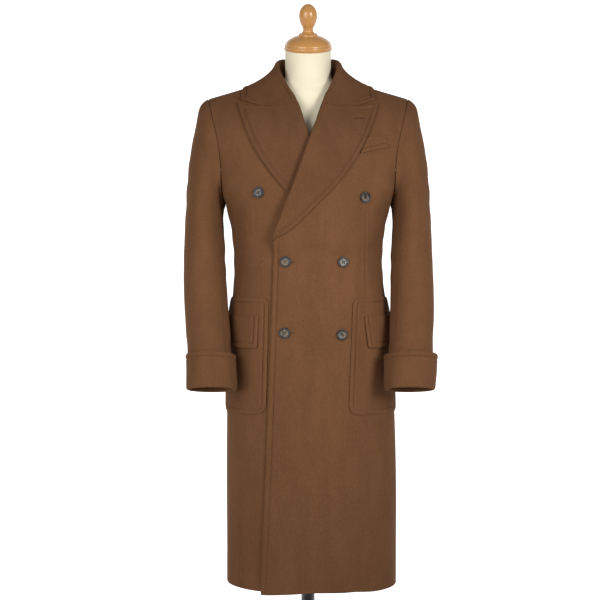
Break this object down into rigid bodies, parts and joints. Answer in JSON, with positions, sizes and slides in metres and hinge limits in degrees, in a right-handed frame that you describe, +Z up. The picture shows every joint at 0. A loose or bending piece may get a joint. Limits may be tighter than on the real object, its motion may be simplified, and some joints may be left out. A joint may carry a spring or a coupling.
{
  "type": "polo coat on a limbless dress form",
  "caption": "Full-length double-breasted wool overcoat with peak lapels, patch pockets and turn-back cuffs, buttoned on a limbless form with a pole and a round base.",
  "frame": {"origin": "middle of the base's underside, on the floor", "axes": "+Z up, +X the wearer's left, the coat faces -Y"},
  "size_m": [0.5941, 0.42, 1.6606],
  "materials": {
    "wool": "napped brown wool",
    "horn": "polished dark mottled horn",
    "cover": "cream cotton cover",
    "wood": "waxed honey wood",
    "iron": "dark satin paint"
  },
  "bodies": {
    "root": {"front_left": "wool", "front_right": "wool", "back_left": "wool", "back_right": "wool", "sleeve_left_top": "wool", "sleeve_left_under": "wool", "sleeve_right_top": "wool", "sleeve_right_under": "wool", "cuff_left": "wool", "cuff_right": "wool", "collar": "wool", "lapel_left": "wool", "lapel_right": "wool", "pocket_left": "wool", "pocket_right": "wool", "flap_left": "wool", "flap_right": "wool", "breast_welt": "wool", "button_1": "horn", "button_2": "horn", "button_3": "horn", "button_4": "horn", "button_5": "horn", "button_6": "horn", "form_body": "cover", "neck_cap": "wood", "form_pole": "iron", "form_base": "iron"}
  },
  "joints": []
}
